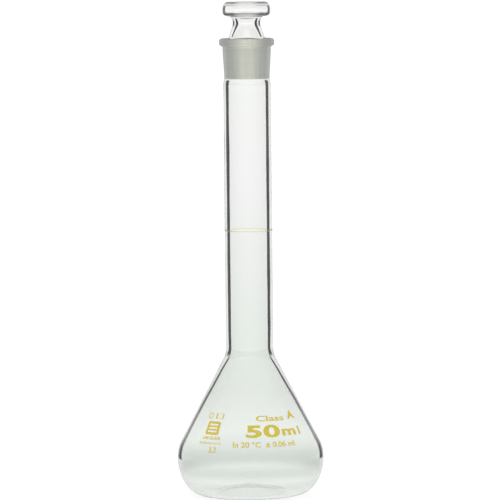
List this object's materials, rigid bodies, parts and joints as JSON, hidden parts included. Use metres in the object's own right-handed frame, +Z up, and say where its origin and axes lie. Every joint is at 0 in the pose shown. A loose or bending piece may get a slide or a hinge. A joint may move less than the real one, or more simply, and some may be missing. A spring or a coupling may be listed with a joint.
{
  "type": "volumetric flask",
  "caption": "Clear glass volumetric flask with a long neck, a rounded conical bulb, a capacity line and a hollow ground glass stopper that lifts out.",
  "frame": {"origin": "centre of the base, on the surface that the flask stands on", "axes": "+Z up along the axis of the neck, towards the stopper; -Y is the front, which the capacity mark faces; +X to the right of it"},
  "size_m": [0.0486, 0.0486, 0.1639],
  "materials": {
    "clear_glass": "clear borosilicate glass, fire-polished, with a faint green-grey tint",
    "ground_glass": "borosilicate glass with a finely ground, frosted joint surface",
    "amber_enamel": "thin fired enamel, amber yellow, satin"
  },
  "bodies": {
    "flask": {"bulb": "clear_glass", "neck_tube": "clear_glass", "ground_socket": "ground_glass", "graduation_ring": "amber_enamel", "capacity_digit_5": "amber_enamel", "capacity_digit_0": "amber_enamel", "capacity_letter_m": "amber_enamel", "capacity_letter_l": "amber_enamel", "class_letter_a": "amber_enamel", "joint_size_digit_1": "amber_enamel", "joint_size_digit_3": "amber_enamel", "plain_panel": "amber_enamel"},
    "stopper": {"stopper_plug": "ground_glass", "stopper_head": "clear_glass"}
  },
  "joints": [
    {"name": "stopper_lift", "type": "slide", "parent": "flask", "child": "stopper", "axis": [0, 0, 1], "range_m": [0, 0.04]}
  ]
}
